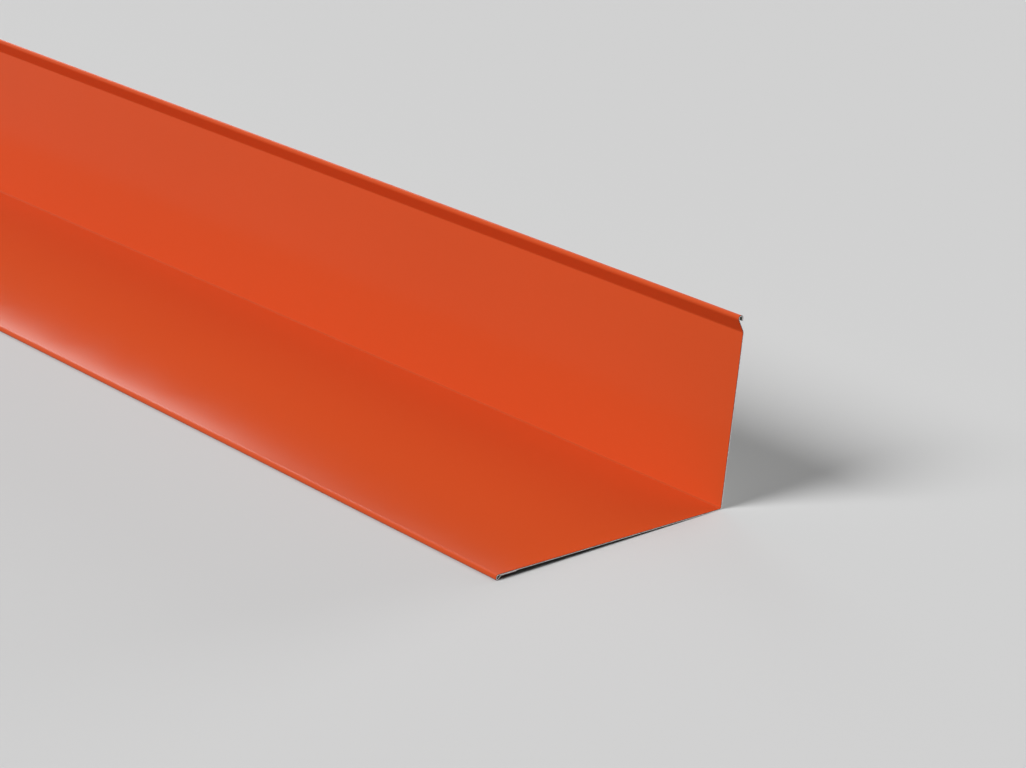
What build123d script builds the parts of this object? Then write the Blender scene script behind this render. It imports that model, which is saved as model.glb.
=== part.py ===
from build123d import *
import os
from math import acos, asin, atan2, cos, degrees, hypot, radians, sin, tan

# Wall flashing: one strip of coil-coated steel, folded lengthwise into two legs.
# The roof leg lies on the roof covering, and its front edge is hemmed into a drip nose.
# The wall leg stands against the wall, and its top edge is a lip that leans out to hold a sealant bead.
# X runs along the strip, +Y points at the wall and +Z up.
# The strip stands as it does unheld on a level floor, on its heel and its drip nose.
# The origin is on that floor, under the middle of the strip's bounding box.

# Driving dimensions, in millimetres and degrees. Every radius is on the inside of its bend.
length = 2000.0
sheet = 0.6
roof_leg = 150.0        # heel's outside corner to the front of the drip nose
wall_leg = 96.3         # heel's outside corner to the lip's outside corner
leg_angle = 97.0        # between the two legs
heel_radius = 0.9
lip_length = 8.1        # lip's outside corner to the foot of its hem
lip_turn = 32.0         # away from the line of the wall leg
lip_radius = 2.0
lip_hem_height = 2.05   # foot of the hem to its top
lip_hem_stand = 20.0    # turn at the foot that stands the hem more upright than the lip
lip_hem_foot_radius = 1.5
lip_hem_radius = 1.0
lip_hem_leaf = 1.5      # flat part of the leaf that hangs behind the lip
lip_hem_mouth = 1.7     # between that leaf's edge and the hem's front
nose_drop = 2.55        # lowest point of the drip nose, below the roof leg
nose_angle = 75.0       # nose face, below the line of the roof leg
nose_bend_radius = 0.8
nose_fold_radius = 0.4
leaf_slope = 42.0       # leaf behind the nose, as it climbs back to the roof leg
leaf_bend_radius = 0.8
drip_hem_width = 13.1   # nose face to the edge of the hem's leaf
drip_hem_gap = 0.12     # between that leaf and the roof leg


def middle(inside_radius):
    """Bend radius at the middle of the sheet's thickness."""
    return inside_radius + sheet / 2


def setback(radius, turn):
    """Distance from the corner of a bend to the start of its arc, on the side with that radius."""
    return radius * tan(radians(turn) / 2)


# The bends at the heel and the lip, where lengths are taken to the outside corners
heel_turn = 180 - leg_angle
heel_setback = setback(heel_radius + sheet, heel_turn)
lip_setback = setback(lip_radius + sheet, lip_turn)
wall_flat = wall_leg - heel_setback - lip_setback

# The lip's hem: a small turn back at its foot, then a fold past a half turn that closes its leaf a little
foot_setback = setback(lip_hem_foot_radius, lip_hem_stand)
lip_flat = lip_length - lip_setback - foot_setback
lip_hem_flat = lip_hem_height - foot_setback - lip_hem_radius - sheet
lip_hem_reach = hypot(lip_hem_radius, lip_hem_leaf)
lip_hem_past = acos((lip_hem_mouth - lip_hem_radius) / lip_hem_reach) - atan2(lip_hem_leaf, lip_hem_radius)
lip_hem_turn = 180 + degrees(lip_hem_past)

# The drip nose: a face folded down from the roof leg, a tight fold, and a leaf that climbs back under the leg
face = radians(nose_angle)
slope = radians(leaf_slope)
bend = middle(nose_bend_radius)
fold = middle(nose_fold_radius)
kink = middle(leaf_bend_radius)
nose_face_flat = (nose_drop - bend * (1 - cos(face)) - fold * (1 + cos(face))) / sin(face)
leaf_rise = nose_drop - sheet - drip_hem_gap
leaf_slope_flat = (leaf_rise - (fold + kink) * (1 - cos(slope))) / sin(slope)
nose_above = bend * sin(face) + nose_face_flat * cos(face) + fold * (1 - sin(face)) + sheet / 2
nose_below = kink * sin(slope) + leaf_slope_flat * cos(slope) + fold * (1 + sin(slope)) + sheet / 2
roof_flat = roof_leg - heel_setback - nose_above
leaf_flat = drip_hem_width - nose_below

# Flats and bends in order, from the edge of the drip hem's leaf to the edge of the lip hem's leaf.
# Each row is a flat's length, then the turn that follows it (positive to the left) and that bend's radius.
folds = [
    (leaf_flat, leaf_slope, leaf_bend_radius),
    (leaf_slope_flat, nose_angle - 180 - leaf_slope, nose_fold_radius),
    (nose_face_flat, -nose_angle, nose_bend_radius),
    (roof_flat, heel_turn, heel_radius),
    (wall_flat, lip_turn, lip_radius),
    (lip_flat, -lip_hem_stand, lip_hem_foot_radius),
    (lip_hem_flat, -lip_hem_turn, lip_hem_radius),
    (lip_hem_leaf, 0, 0),
]
first_edge = Vector(drip_hem_width - roof_leg, -drip_hem_gap - sheet / 2)
first_heading = 180


def folded_line(offset):
    """Lines and arcs of the folded strip's section, at an offset to the left of the sheet's middle."""
    heading = first_heading
    at = first_edge + Vector(0, offset).rotate(Axis.Z, heading)
    edges = []
    for flat, turn, radius in folds:
        run = PolarLine(at, flat, heading)
        edges.append(run)
        at = run @ 1
        if turn:
            inward = offset if turn > 0 else -offset
            arc = JernArc(at, run % 1, middle(radius) - inward, turn)
            edges.append(arc)
            at = arc @ 1
            heading += turn
    return edges


def rest_turn():
    """Turn of the section that brings the heel and the drip nose down onto one level floor."""
    heel_round = heel_radius + sheet
    nose_round = nose_fold_radius + sheet
    across = roof_leg - heel_setback - nose_round
    above = heel_round + nose_drop - nose_round
    return degrees(asin((heel_round - nose_round) / hypot(across, above)) - atan2(above, across))


painted_side = folded_line(sheet / 2)
reverse_side = folded_line(-sheet / 2)
leaf_edges = [Line(painted_side[end] @ at, reverse_side[end] @ at) for end, at in ((0, 0), (-1, 1))]
section = make_face(painted_side + leaf_edges + reverse_side)
standing = Plane.YZ * Rot(0, 0, rest_turn()) * section
reach = standing.bounding_box()
wall_flashing = extrude(Pos(0, -reach.center().Y, -reach.min.Z) * standing, length / 2, both=True)

os.makedirs("parts", exist_ok=True)
export_step(wall_flashing, "parts/wall_flashing.step")

blank_width = sum(flat + radians(abs(turn)) * middle(radius) for flat, turn, radius in folds)
box = wall_flashing.bounding_box()
print(f"blank width {blank_width:.1f} mm, box {box.min} to {box.max}, volume {wall_flashing.volume:.0f} mm3")
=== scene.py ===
from math import acos, asin, atan2, ceil, copysign, cos, hypot, pi, radians, sin, tan

import bpy
import numpy as np
from bpy.props import FloatProperty, FloatVectorProperty, PointerProperty
from mathutils import Matrix, Vector


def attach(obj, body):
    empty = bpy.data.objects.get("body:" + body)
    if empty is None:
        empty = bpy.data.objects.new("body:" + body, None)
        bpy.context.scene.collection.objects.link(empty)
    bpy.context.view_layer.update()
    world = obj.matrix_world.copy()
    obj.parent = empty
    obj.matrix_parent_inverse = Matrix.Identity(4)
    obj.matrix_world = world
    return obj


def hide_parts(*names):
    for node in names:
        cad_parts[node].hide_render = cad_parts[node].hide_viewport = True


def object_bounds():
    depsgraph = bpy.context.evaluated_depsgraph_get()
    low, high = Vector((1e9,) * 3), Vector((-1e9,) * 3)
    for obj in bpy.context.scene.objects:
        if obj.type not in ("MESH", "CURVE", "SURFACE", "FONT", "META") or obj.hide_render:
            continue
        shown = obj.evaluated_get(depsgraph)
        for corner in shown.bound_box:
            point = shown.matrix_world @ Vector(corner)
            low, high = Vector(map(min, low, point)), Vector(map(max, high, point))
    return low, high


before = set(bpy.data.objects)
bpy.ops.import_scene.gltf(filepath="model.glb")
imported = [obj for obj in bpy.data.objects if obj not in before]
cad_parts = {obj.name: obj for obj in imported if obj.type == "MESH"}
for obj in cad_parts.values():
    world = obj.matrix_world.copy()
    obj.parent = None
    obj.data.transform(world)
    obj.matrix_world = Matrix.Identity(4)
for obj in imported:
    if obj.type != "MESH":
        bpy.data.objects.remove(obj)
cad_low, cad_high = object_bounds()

bl_info = {
    "name": "Wall flashing",
    "version": (1, 0, 0),
    "blender": (4, 5, 0),
    "location": "3D View > Sidebar > Flashing",
    "description": "A folded strip of coil-coated steel that seals a roof against a wall",
    "category": "Object",
}

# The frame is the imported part's: X along the strip, +Y towards the wall, +Z up, in metres.
MM = 0.001
NODE = "wall_flashing"
BODY = "root"

# How finely the strip's surface is divided
BEND_STEP = radians(5)
FLAT_STEP = 12 * MM
STATION_STEP = 50 * MM
SHARP_ANGLE = radians(40)
# A narrow band at each end of a flat keeps a bend's shading inside the bend.
FLAT_HOLD = 0.3 * MM

# Sides of the sheet in the section's arrays, and the materials' places on the mesh
PAINTED, REVERSE = 0, 1
PAINT_PLACE, BACKING_PLACE, EDGE_PLACE = 0, 1, 2

# Sockets of the colour Mix node, which share their names with others
MIX_FACTOR, MIX_A, MIX_B, MIX_RESULT = 0, 6, 7, 2


def linear(colour):
    """An sRGB hex colour as linear red, green and blue."""
    coded = np.array([int(colour[place:place + 2], 16) for place in (0, 2, 4)]) / 255
    return np.where(coded <= 0.04045, coded / 12.92, ((coded + 0.055) / 1.055) ** 2.4).tolist()


def size(name, millimetres, description):
    """A length for the panel, given in millimetres and kept in metres."""
    return FloatProperty(
        name=name, description=description, default=millimetres * MM, min=0, precision=5, unit="LENGTH"
    )


def turn(name, degrees, description):
    """An angle for the panel, given in degrees and kept in radians."""
    return FloatProperty(
        name=name, description=description, default=radians(degrees), subtype="ANGLE", unit="ROTATION"
    )


def colour(name, hex_value, description):
    """A colour for the panel, given as sRGB hex and kept linear."""
    return FloatVectorProperty(
        name=name, description=description, default=linear(hex_value),
        min=0, max=1, size=3, subtype="COLOR",
    )


def strength(name, value, description):
    """A light's strength for the panel, in watts per square metre for a lamp."""
    return FloatProperty(name=name, description=description, default=value, min=0)


class FlashingSizes(bpy.types.PropertyGroup):
    """Sizes of the folded strip. Every radius is on the inside of its bend"""

    length: FloatProperty(
        name="Length", description="Length of the strip",
        default=cad_high.x - cad_low.x, min=0, unit="LENGTH",
    )
    sheet: size("Sheet", 0.6, "Thickness of the coated sheet")
    roof_leg: size("Roof leg", 150, "Heel's outside corner to the front of the drip nose")
    wall_leg: size("Wall leg", 96.3, "Heel's outside corner to the lip's outside corner")
    leg_angle: turn("Leg angle", 97, "Angle between the roof leg and the wall leg")
    heel_radius: size("Heel radius", 0.9, "Bend between the two legs")
    lip_length: size("Lip", 8.1, "Lip's outside corner to the foot of its hem")
    lip_turn: turn("Lip turn", 32, "How far the lip leans away from the line of the wall leg")
    lip_radius: size("Lip radius", 2, "Bend between the wall leg and the lip")
    lip_hem_height: size("Lip hem", 2.05, "Foot of the lip's hem to its top")
    lip_hem_stand: turn("Lip hem stand", 20, "Turn at its foot that stands the hem more upright")
    lip_hem_foot_radius: size("Lip hem foot radius", 1.5, "Bend at the foot of the lip's hem")
    lip_hem_radius: size("Lip hem radius", 1, "Roll of the lip's hem")
    lip_hem_leaf: size("Lip hem leaf", 1.5, "Flat part of the leaf that hangs behind the lip")
    lip_hem_mouth: size("Lip hem mouth", 1.7, "Between that leaf's edge and the hem's front")
    nose_drop: size("Nose drop", 2.55, "Lowest point of the drip nose, below the roof leg")
    nose_angle: turn("Nose angle", 75, "Nose face, below the line of the roof leg")
    nose_bend_radius: size("Nose bend radius", 0.8, "Bend between the roof leg and the nose face")
    nose_fold_radius: size("Nose fold radius", 0.4, "Fold at the tip of the drip nose")
    leaf_slope: turn("Leaf slope", 42, "Leaf behind the nose, as it climbs back to the roof leg")
    leaf_bend_radius: size("Leaf bend radius", 0.8, "Bend where that leaf levels out")
    drip_hem_width: size("Drip hem", 13.1, "Nose face to the edge of the hem's leaf")
    drip_hem_gap: size("Drip hem gap", 0.12, "Between that leaf and the roof leg")


class FlashingFinish(bpy.types.PropertyGroup):
    """Colours of the coated sheet"""

    paint: colour("Paint", "d45226", "Coil coat on the weather side")
    backing: colour("Backing coat", "c4c5c0", "Thin coat on the hidden side")
    # The drawn film's colour is partly painted shade: the rolled-over cut edge is coloured as if in shade
    drawn_film_and_shade: colour("Drawn film", "3f1611", "Film that the shear draws down over a cut edge")
    bare: colour("Bare steel", "f0ebe8", "Bare part of a cut edge")


class FlashingStage(bpy.types.PropertyGroup):
    """Floor and light around the strip"""

    floor: colour("Floor", "d2d2d2", "Matt floor")
    bounce: FloatProperty(
        name="Floor bounce", description="Share of its light that the floor throws back on the strip",
        default=0.15, min=0, max=1, subtype="FACTOR",
    )
    key: strength("Key light", 2.93, "Broad soft light in front of the strip")
    top: strength("Top light", 0.62, "Broad soft light above and behind the wall leg")
    rim: strength("Rim light", 0.28, "Low soft light that the roof leg's front mirrors")
    back: strength("Back light", 1.2, "Low soft light on the back of the wall leg")
    room: strength("Room", 0.8, "Pale room, where the camera or a gloss looks at it")
    ambient: strength("Ambient", 0.08, "Pale room's light on the strip")


def setback(radius, bend):
    """Corner of a bend to the start of its arc: the radius times the tangent of half the turn."""
    return radius * tan(bend / 2)


def strip_folds(sizes):
    """Flats and bends of the strip, from the drip hem leaf's edge to the lip hem leaf's edge.

    Each row is a flat's length, the turn that follows it (positive to the left) and that bend's radius.
    A flat is its stated length, less the setbacks of the bends at its ends.
    """
    half = sizes.sheet / 2
    heel_turn = pi - sizes.leg_angle
    heel_setback = setback(sizes.heel_radius + sizes.sheet, heel_turn)
    lip_setback = setback(sizes.lip_radius + sizes.sheet, sizes.lip_turn)
    foot_setback = setback(sizes.lip_hem_foot_radius, sizes.lip_hem_stand)
    hem_flat = sizes.lip_hem_height - foot_setback - sizes.lip_hem_radius - sizes.sheet

    # The lip's hem turns a little past a half turn, so that its leaf closes to the stated mouth.
    hem_reach = hypot(sizes.lip_hem_radius, sizes.lip_hem_leaf)
    hem_past = acos((sizes.lip_hem_mouth - sizes.lip_hem_radius) / hem_reach)
    hem_turn = pi + hem_past - atan2(sizes.lip_hem_leaf, sizes.lip_hem_radius)

    # The drip nose's flats follow from its drop and its two slopes.
    face, slope = sizes.nose_angle, sizes.leaf_slope
    bend = sizes.nose_bend_radius + half
    fold = sizes.nose_fold_radius + half
    kink = sizes.leaf_bend_radius + half
    face_flat = (sizes.nose_drop - bend * (1 - cos(face)) - fold * (1 + cos(face))) / sin(face)
    leaf_rise = sizes.nose_drop - sizes.sheet - sizes.drip_hem_gap
    slope_flat = (leaf_rise - (fold + kink) * (1 - cos(slope))) / sin(slope)
    nose_above = bend * sin(face) + face_flat * cos(face) + fold * (1 - sin(face)) + half
    nose_below = kink * sin(slope) + slope_flat * cos(slope) + fold * (1 + sin(slope)) + half

    return [
        (sizes.drip_hem_width - nose_below, slope, sizes.leaf_bend_radius),
        (slope_flat, face - pi - slope, sizes.nose_fold_radius),
        (face_flat, -face, sizes.nose_bend_radius),
        (sizes.roof_leg - heel_setback - nose_above, heel_turn, sizes.heel_radius),
        (sizes.wall_leg - heel_setback - lip_setback, sizes.lip_turn, sizes.lip_radius),
        (sizes.lip_length - lip_setback - foot_setback, -sizes.lip_hem_stand, sizes.lip_hem_foot_radius),
        (hem_flat, -hem_turn, sizes.lip_hem_radius),
        (sizes.lip_hem_leaf, 0, 0),
    ]


def flat_distances(length):
    """Distances along a flat: even steps, with one more close to each end."""
    hold = min(FLAT_HOLD, length / 4)
    inner = length - 2 * hold
    steps = np.linspace(hold, length - hold, ceil(inner / FLAT_STEP) + 1)
    return np.concatenate([[0], steps, [length]])


def folded_section(sizes):
    """The section as an array of point, side and (across, up), and the film's stretch at each point.

    Each side runs beside the sheet's middle line, half a thickness to its left or right.
    On a flat a point is start + distance * heading. On a bend it is centre + radius * (sin h, -cos h),
    where h is the heading there and the radius is the bend's own, seen from that side.
    The painted film is stretched outside a bend. Inside one it is pressed, and the stretch is negative.
    It is half a thickness over the middle radius, times a half sine that is zero at the bend's ends.
    """
    half = sizes.sheet / 2
    offsets = np.array([[half], [-half]])
    heading = pi
    start = np.array([sizes.drip_hem_width - sizes.roof_leg, -sizes.drip_hem_gap - half])
    at = start + offsets * np.array([-sin(heading), cos(heading)])
    rows, stretches = [], []
    for flat, bend, radius in strip_folds(sizes):
        ahead = np.array([cos(heading), sin(heading)])
        distances = flat_distances(flat)[:, None, None]
        rows.append(at + distances * ahead)
        stretches.append(np.zeros(len(distances)))
        at = at + flat * ahead
        if bend:
            way = copysign(1, bend)
            reach = way * (radius + half) - offsets
            centre = at + reach * np.array([-sin(heading), cos(heading)])
            shares = np.linspace(0, 1, ceil(abs(bend) / BEND_STEP) + 1)[1:]
            headings = heading + bend * shares
            rounds = np.stack([np.sin(headings), -np.cos(headings)], axis=1)
            arc = centre + reach * rounds[:, None, :]
            rows.append(arc[:-1])
            stretches.append(-way * half / (radius + half) * np.sin(pi * shares[:-1]))
            at = arc[-1]
            heading += bend
    return np.concatenate(rows), np.concatenate(stretches)


def standing_section(sizes):
    """The folded section turned so that its heel and its drip nose rest on one level floor.

    The turn is that of the line that touches both rounds from below. The section is then shifted,
    so that it is centred on Y and its lowest point is at zero.
    """
    points, stretch = folded_section(sizes)
    heel_round = sizes.heel_radius + sizes.sheet
    nose_round = sizes.nose_fold_radius + sizes.sheet
    across = sizes.roof_leg - setback(heel_round, pi - sizes.leg_angle) - nose_round
    above = heel_round + sizes.nose_drop - nose_round
    rest = asin((heel_round - nose_round) / hypot(across, above)) - atan2(above, across)
    turned = points @ np.array([[cos(rest), sin(rest)], [-sin(rest), cos(rest)]])
    low, high = turned.min(axis=(0, 1)), turned.max(axis=(0, 1))
    return turned - [(low[0] + high[0]) / 2, low[1]], stretch


def strip_mesh(name, sizes):
    """The section carried along X, as one closed skin with a face on each cut end.

    Vertex (station, place) is (x of the station, y and z of that place on the section's ring).
    The ring runs up the painted side and back down the reverse side.
    """
    section, stretch = standing_section(sizes)
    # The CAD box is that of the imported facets, which stop about a micrometre short of the true rounds.
    section = np.clip(section, (cad_low.y, cad_low.z), (cad_high.y, cad_high.z))
    count = len(section)
    ring = np.concatenate([section[:, PAINTED], section[::-1, REVERSE]])
    stations = np.linspace(-sizes.length / 2, sizes.length / 2, ceil(sizes.length / STATION_STEP) + 1)
    points = np.empty((len(stations), len(ring), 3))
    points[..., 0] = stations[:, None]
    points[..., 1:] = ring

    index = np.arange(points.shape[0] * points.shape[1]).reshape(points.shape[:2])
    following = np.roll(index, -1, axis=1)
    skin = np.stack([index[:-1], index[1:], following[1:], following[:-1]], axis=-1).reshape(-1, 4)
    painted, reverse = index[:, :count], index[:, :count - 1:-1]
    far_cut = [painted[0, :-1], painted[0, 1:], reverse[0, 1:], reverse[0, :-1]]
    near_cut = [painted[-1, :-1], reverse[-1, :-1], reverse[-1, 1:], painted[-1, 1:]]
    faces = np.concatenate([skin, np.stack(far_cut, axis=-1), np.stack(near_cut, axis=-1)])

    # Round the ring: painted side, the lip leaf's cut edge, reverse side, the drip leaf's cut edge
    coats = np.repeat([PAINT_PLACE, EDGE_PLACE, BACKING_PLACE, EDGE_PLACE], [count - 1, 1, count - 1, 1])
    places = np.full(len(faces), EDGE_PLACE)
    places[:len(skin)] = np.tile(coats, len(stations) - 1)

    mesh = bpy.data.meshes.new(name)
    mesh.vertices.add(points.size // 3)
    mesh.vertices.foreach_set("co", points.ravel())
    mesh.loops.add(faces.size)
    mesh.loops.foreach_set("vertex_index", faces.ravel())
    mesh.polygons.add(len(faces))
    mesh.polygons.foreach_set("loop_start", np.arange(0, faces.size, 4))
    mesh.polygons.foreach_set("material_index", places)
    mesh.update(calc_edges=True)
    mesh.shade_smooth()
    mesh.set_sharp_from_angle(angle=SHARP_ANGLE)

    # What the materials read: the depth through the sheet from its painted side, and the film's stretch
    depth = np.repeat([0.0, 1.0], count)
    pull = np.concatenate([stretch, stretch[::-1]])
    for attribute, values in (("depth", depth), ("stretch", pull)):
        made = mesh.attributes.new(attribute, "FLOAT", "POINT")
        made.data.foreach_set("value", np.tile(values, len(stations)))
    return mesh


def add_node(tree, kind, inputs, **fields):
    """Adds a node with its fields set. An input is a plain value, or a node's output, which is linked."""
    node = tree.nodes.new(kind)
    for field, value in fields.items():
        setattr(node, field, value)
    for socket, value in inputs.items():
        if isinstance(value, bpy.types.NodeSocket):
            tree.links.new(value, node.inputs[socket])
        else:
            node.inputs[socket].default_value = value
    return node


def new_material(name):
    """An empty node material."""
    material = bpy.data.materials.new(name)
    material.use_nodes = True
    material.node_tree.nodes.clear()
    return material


def shade(rgb, factor):
    """A linear colour made lighter or darker, with its alpha."""
    return [min(1, channel * factor) for channel in rgb] + [1]


def coil_coat(finish):
    """Polyester coil coat: baked on as a flat film before the sheet is folded.

    The eye sees an even, semi-gloss orange-red with soft broad reflections and a faint orange peel.
    The film pales on tight outside folds, partly where the fold crazes it and partly as a painted
    highlight.
    Inside a fold it is painted darker, as painted shade in the crease.
    """
    film_drift = 180 * MM               # slow change of tone along the coil
    orange_peel = 2.5 * MM              # drawn coarser than the real 1 to 2 mm, which is too fine to show
    peel_height = 0.05 * MM             # and drawn higher than the real micrometre
    gloss_patch = 30 * MM               # slightly glossier and duller patches
    smoothest, roughest = 0.125, 0.15   # roughness of those patches
    # Paler film on tight outside folds: partly the crazing that a tight fold gives, partly a painted
    # highlight
    craze_and_highlight_from, craze_and_highlight_full = 0.2, 0.45    # stretch at which the film starts to pale, and is palest
    # Painted shade in the creases: the film is darkest inside a fold at this stretch
    crease_shade_full = -0.5                   # stretch at which it is deepest
    most_craze_and_highlight, most_crease_shade = 0.16, 0.7         # share of the pale or the deep tone there
    material = new_material("polyester_coil_coat")
    tree = material.node_tree
    place = add_node(tree, "ShaderNodeTexCoord", {}).outputs["Object"]
    drift = add_node(tree, "ShaderNodeTexNoise", {"Vector": place, "Scale": 1 / film_drift, "Detail": 3})
    darker, lighter = shade(finish.paint, 0.97), shade(finish.paint, 1.03)
    tone = add_node(
        tree, "ShaderNodeMix",
        {MIX_FACTOR: drift.outputs[0], MIX_A: darker, MIX_B: lighter},
        data_type="RGBA",
    )
    stretch = add_node(tree, "ShaderNodeAttribute", {}, attribute_name="stretch")
    # Painted highlight, partly real crazing: the film is made paler on tight outside folds
    craze_and_highlight = add_node(
        tree, "ShaderNodeMapRange",
        {"Value": stretch.outputs["Fac"], "From Min": craze_and_highlight_from, "From Max": craze_and_highlight_full, "To Max": most_craze_and_highlight},
    )
    pale = [(1 + channel) / 2 for channel in finish.paint] + [1]
    crease_shade_tone = shade(finish.paint, 0.5)
    stretched = add_node(
        tree, "ShaderNodeMix",
        {MIX_FACTOR: craze_and_highlight.outputs["Result"], MIX_A: tone.outputs[MIX_RESULT], MIX_B: pale},
        data_type="RGBA",
    )
    # Painted shade: the film is made darker inside folds, most at the heel
    crease_shade = add_node(
        tree, "ShaderNodeMapRange",
        {"Value": stretch.outputs["Fac"], "From Min": 0, "From Max": crease_shade_full, "To Max": most_crease_shade},
    )
    film = add_node(
        tree, "ShaderNodeMix",
        {MIX_FACTOR: crease_shade.outputs["Result"], MIX_A: stretched.outputs[MIX_RESULT], MIX_B: crease_shade_tone},
        data_type="RGBA",
    )
    patches = add_node(
        tree, "ShaderNodeTexNoise", {"Vector": place, "Scale": 1 / gloss_patch, "Detail": 4}
    )
    gloss = add_node(
        tree, "ShaderNodeMapRange",
        {
            "Value": patches.outputs[0],
            "From Min": 0.3,
            "From Max": 0.7,
            "To Min": smoothest,
            "To Max": roughest,
        },
    )
    peel = add_node(tree, "ShaderNodeTexNoise", {"Vector": place, "Scale": 1 / orange_peel, "Detail": 1})
    bump = add_node(
        tree, "ShaderNodeBump", {"Height": peel.outputs[0], "Strength": 0.06, "Distance": peel_height}
    )
    # The gloss is weaker and warmer than a clear lacquer's.
    shader = add_node(
        tree, "ShaderNodeBsdfPrincipled",
        {
            "Base Color": film.outputs[MIX_RESULT],
            "Roughness": gloss.outputs["Result"],
            "IOR": 1.5,
            "Specular IOR Level": 0.13,
            "Specular Tint": (1, 0.5, 0.3, 1),
            "Normal": bump.outputs["Normal"],
        },
    )
    add_node(tree, "ShaderNodeOutputMaterial", {"Surface": shader.outputs["BSDF"]})
    return material


def backing_coat(finish):
    """Epoxy-polyester backing coat: a thin coat rolled onto the hidden side.

    The eye sees a flat light grey with fine streaks along the strip, where the roller ran.
    """
    streak_length = 400 * MM
    streak_width = 1.5 * MM
    smoothest, roughest = 0.45, 0.6     # roughness of the streaks
    material = new_material("epoxy_polyester_backing_coat")
    tree = material.node_tree
    place = add_node(tree, "ShaderNodeTexCoord", {}).outputs["Object"]
    along = add_node(
        tree, "ShaderNodeMapping",
        {"Vector": place, "Scale": (1 / streak_length, 1 / streak_width, 1 / streak_width)},
    )
    streaks = add_node(
        tree, "ShaderNodeTexNoise", {"Vector": along.outputs["Vector"], "Scale": 1, "Detail": 3}
    )
    darker, lighter = shade(finish.backing, 0.92), shade(finish.backing, 1.06)
    tone = add_node(
        tree, "ShaderNodeMix",
        {MIX_FACTOR: streaks.outputs[0], MIX_A: darker, MIX_B: lighter},
        data_type="RGBA",
    )
    gloss = add_node(
        tree, "ShaderNodeMapRange",
        {"Value": streaks.outputs[0], "To Min": smoothest, "To Max": roughest},
    )
    shader = add_node(
        tree, "ShaderNodeBsdfPrincipled",
        {
            "Base Color": tone.outputs[MIX_RESULT],
            "Roughness": gloss.outputs["Result"],
            "IOR": 1.5,
            "Specular IOR Level": 0.3,
        },
    )
    add_node(tree, "ShaderNodeOutputMaterial", {"Surface": shader.outputs["BSDF"]})
    return material


def sheared_edge(finish):
    """Sheared galvanised steel: the edge that a guillotine leaves, cut from the painted side.

    The eye sees a dark line, where the blade drew the film down, painted darker as the shade on that
    rolled-over edge, and bright bare metal behind it.
    """
    tear_length = 1.2 * MM
    # Painted shade, partly real: the film drawn down over the edge is coloured dark as if in shade
    drawn_and_shaded_depth = 0.55         # share of the sheet's thickness that the film is drawn down
    material = new_material("sheared_galvanised_steel")
    tree = material.node_tree
    place = add_node(tree, "ShaderNodeTexCoord", {}).outputs["Object"]
    tears = add_node(
        tree, "ShaderNodeTexNoise", {"Vector": place, "Scale": 1 / tear_length, "Detail": 2}
    )
    depth = add_node(tree, "ShaderNodeAttribute", {}, attribute_name="depth")
    reach = add_node(
        tree, "ShaderNodeMapRange",
        {"Value": tears.outputs[0], "To Min": 0.5 * drawn_and_shaded_depth, "To Max": 1.5 * drawn_and_shaded_depth},
    )
    bare = add_node(
        tree, "ShaderNodeMath",
        {0: depth.outputs["Fac"], 1: reach.outputs["Result"]},
        operation="GREATER_THAN",
    )
    # Painted shade with the drawn film: dark on the painted side of the cut, bare metal behind it
    tone = add_node(
        tree, "ShaderNodeMix",
        {MIX_FACTOR: bare.outputs[0], MIX_A: shade(finish.drawn_film_and_shade, 1), MIX_B: shade(finish.bare, 1)},
        data_type="RGBA",
    )
    shader = add_node(
        tree, "ShaderNodeBsdfPrincipled",
        {"Base Color": tone.outputs[MIX_RESULT], "Metallic": bare.outputs[0], "Roughness": 0.45},
    )
    add_node(tree, "ShaderNodeOutputMaterial", {"Surface": shader.outputs["BSDF"]})
    return material


def looked_at(tree):
    """1 where the camera, a gloss or clear glass looks at it, and 0 where it only lights other things."""
    rays = add_node(tree, "ShaderNodeLightPath", {})
    direct = add_node(
        tree, "ShaderNodeMath",
        {0: rays.outputs["Is Camera Ray"], 1: rays.outputs["Is Glossy Ray"]},
        operation="MAXIMUM",
    )
    through = add_node(
        tree, "ShaderNodeMath",
        {0: direct.outputs[0], 1: rays.outputs["Is Transmission Ray"]},
        operation="MAXIMUM",
    )
    return through.outputs[0]


def matt_floor(stage):
    """Matt studio floor: rolled paper, even and without gloss.

    It looks pale, and throws less light back on the strip than a pale floor would.
    """
    material = new_material("matt_paper_floor")
    tree = material.node_tree
    tone = add_node(
        tree, "ShaderNodeMix",
        {
            MIX_FACTOR: looked_at(tree),
            MIX_A: shade(stage.floor, stage.bounce),
            MIX_B: shade(stage.floor, 1),
        },
        data_type="RGBA",
    )
    shader = add_node(
        tree, "ShaderNodeBsdfPrincipled",
        {"Base Color": tone.outputs[MIX_RESULT], "Roughness": 1, "Specular IOR Level": 0},
    )
    add_node(tree, "ShaderNodeOutputMaterial", {"Surface": shader.outputs["BSDF"]})
    return material


def pale_room(scene, stage):
    """A plain room: pale where the camera or a gloss looks at it, and weaker as a light on the strip."""
    world = bpy.data.worlds.new("pale_room")
    world.use_nodes = True
    tree = world.node_tree
    tree.nodes.clear()
    light = add_node(tree, "ShaderNodeBackground", {"Color": (1, 1, 1, 1), "Strength": stage.ambient})
    seen = add_node(tree, "ShaderNodeBackground", {"Color": (1, 1, 1, 1), "Strength": stage.room})
    mixed = add_node(
        tree, "ShaderNodeMixShader",
        {0: looked_at(tree), 1: light.outputs["Background"], 2: seen.outputs["Background"]},
    )
    add_node(tree, "ShaderNodeOutputWorld", {"Surface": mixed.outputs["Shader"]})
    scene.world = world


class FLASHING_OT_folded_strip(bpy.types.Operator):
    """Build the folded strip with its coats and its cut edges"""

    bl_idname = "flashing.folded_strip"
    bl_label = "Folded strip"

    def execute(self, context):
        finish = context.scene.flashing_finish
        mesh = strip_mesh("folded_strip", context.scene.flashing_sizes)
        for material in (coil_coat(finish), backing_coat(finish), sheared_edge(finish)):
            mesh.materials.append(material)
        strip = bpy.data.objects.new("folded_strip", mesh)
        context.scene.collection.objects.link(strip)
        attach(strip, BODY)
        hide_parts(NODE)
        return {"FINISHED"}


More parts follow.
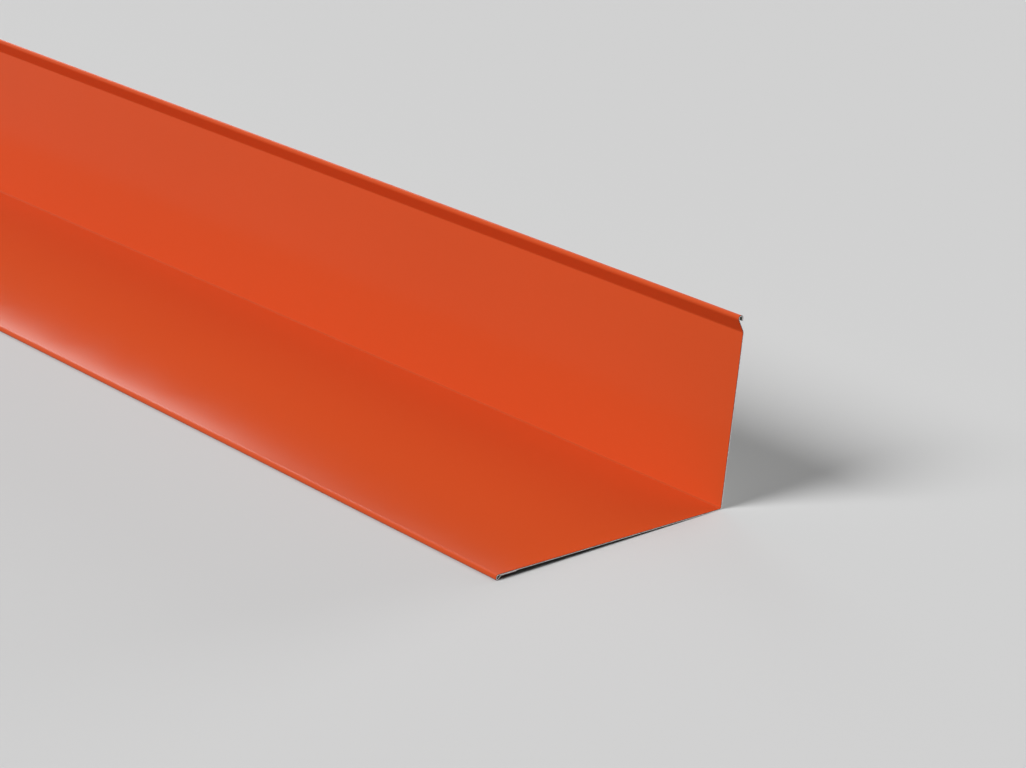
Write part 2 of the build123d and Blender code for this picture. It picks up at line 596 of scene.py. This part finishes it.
class FLASHING_OT_stage(bpy.types.Operator):
    """Set the floor, the light and the camera"""

    bl_idname = "flashing.stage"
    bl_label = "Stage"

    def execute(self, context):
        scene = context.scene
        stage = scene.flashing_stage
        scene.view_settings.view_transform = "Standard"
        pale_room(scene, stage)
        self.lay_floor(scene, stage)
        self.hang_lamp(scene, "key_lamp", stage.key, azimuth=-16, elevation=42, width=32)
        self.hang_lamp(scene, "top_lamp", stage.top, azimuth=180, elevation=58, width=32)
        self.hang_lamp(scene, "rim_lamp", stage.rim, azimuth=246.5, elevation=24, width=20)
        self.hang_lamp(scene, "back_lamp", stage.back, azimuth=180, elevation=12, width=20)
        self.set_camera(scene)
        return {"FINISHED"}

    def lay_floor(self, scene, stage):
        """A large square at floor level: its corners are half its width out on X and Y."""
        half_width = 60
        corners = np.array([[-1, -1, 0], [1, -1, 0], [1, 1, 0], [-1, 1, 0]]) * half_width
        mesh = bpy.data.meshes.new("floor")
        mesh.from_pydata(corners.tolist(), [], [[0, 1, 2, 3]])
        mesh.materials.append(matt_floor(stage))
        floor = bpy.data.objects.new("floor", mesh)
        scene.collection.objects.link(floor)

    def hang_lamp(self, scene, name, energy, azimuth, elevation, width):
        """A soft light from far off, so that it falls evenly on the whole floor.

        Azimuth 0 is in front of the strip, and 90 is beyond its near end.
        The width is the angle that the light fills. All three are in degrees.
        """
        around, above = radians(azimuth), radians(elevation)
        direction = Vector((sin(around) * cos(above), -cos(around) * cos(above), sin(above)))
        light = bpy.data.lights.new(name, "SUN")
        light.energy = energy
        light.angle = radians(width)
        lamp = bpy.data.objects.new(name, light)
        lamp.rotation_euler = direction.to_track_quat("Z", "Y").to_euler()
        scene.collection.objects.link(lamp)

    def set_camera(self, scene):
        """A long lens that looks down along the strip from its near end."""
        yaw, pitch, roll = radians(51.700), radians(20.006), radians(0.242)
        place = (2.1833, -1.00476, 0.65054)
        lens = bpy.data.cameras.new("camera")
        lens.sensor_width = 36
        lens.lens = 115.3
        camera = bpy.data.objects.new("camera", lens)
        heading = Matrix.Rotation(yaw, 4, "Z") @ Matrix.Rotation(pi / 2 - pitch, 4, "X")
        camera.matrix_world = Matrix.Translation(place) @ heading @ Matrix.Rotation(-roll, 4, "Z")
        scene.collection.objects.link(camera)
        scene.camera = camera


class FLASHING_PT_sidebar(bpy.types.Panel):
    """Lists the sizes, the colours and the steps"""

    bl_label = "Wall flashing"
    bl_idname = "FLASHING_PT_sidebar"
    bl_space_type = "VIEW_3D"
    bl_region_type = "UI"
    bl_category = "Flashing"

    def draw(self, context):
        scene = context.scene
        for group in (scene.flashing_sizes, scene.flashing_finish, scene.flashing_stage):
            column = self.layout.column(align=True)
            for name in group.__annotations__:
                column.prop(group, name)
        self.layout.operator(FLASHING_OT_folded_strip.bl_idname)
        self.layout.operator(FLASHING_OT_stage.bl_idname)


CLASSES = (
    FlashingSizes,
    FlashingFinish,
    FlashingStage,
    FLASHING_OT_folded_strip,
    FLASHING_OT_stage,
    FLASHING_PT_sidebar,
)


def register():
    for item in CLASSES:
        bpy.utils.register_class(item)
    bpy.types.Scene.flashing_sizes = PointerProperty(type=FlashingSizes)
    bpy.types.Scene.flashing_finish = PointerProperty(type=FlashingFinish)
    bpy.types.Scene.flashing_stage = PointerProperty(type=FlashingStage)


def unregister():
    del bpy.types.Scene.flashing_stage
    del bpy.types.Scene.flashing_finish
    del bpy.types.Scene.flashing_sizes
    for item in reversed(CLASSES):
        bpy.utils.unregister_class(item)


def main():
    """Builds the strip and its stage."""
    register()
    bpy.ops.flashing.folded_strip()
    bpy.ops.flashing.stage()


if __name__ == "__main__":
    main()
